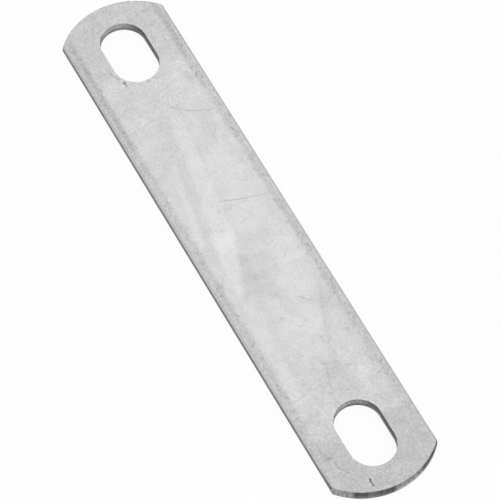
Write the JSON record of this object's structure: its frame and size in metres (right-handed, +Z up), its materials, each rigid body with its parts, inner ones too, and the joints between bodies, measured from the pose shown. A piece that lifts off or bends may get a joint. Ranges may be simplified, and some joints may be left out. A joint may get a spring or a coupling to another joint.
{
  "type": "mending plate",
  "caption": "Flat zinc-plated steel mending plate with arc-shaped ends and an obround bolt slot near each end, lying flat.",
  "frame": {"origin": "middle of the underside, which is the face the punch entered and the face that lies on the work", "axes": "+X along the plate, through both slot centres; +Y across the plate; +Z up, square to the faces, out of the upper face"},
  "size_m": [0.1384, 0.0254, 0.0025],
  "materials": {
    "zinc_plated_steel": "satin"
  },
  "bodies": {
    "root": {"plate": "zinc_plated_steel"}
  },
  "joints": []
}
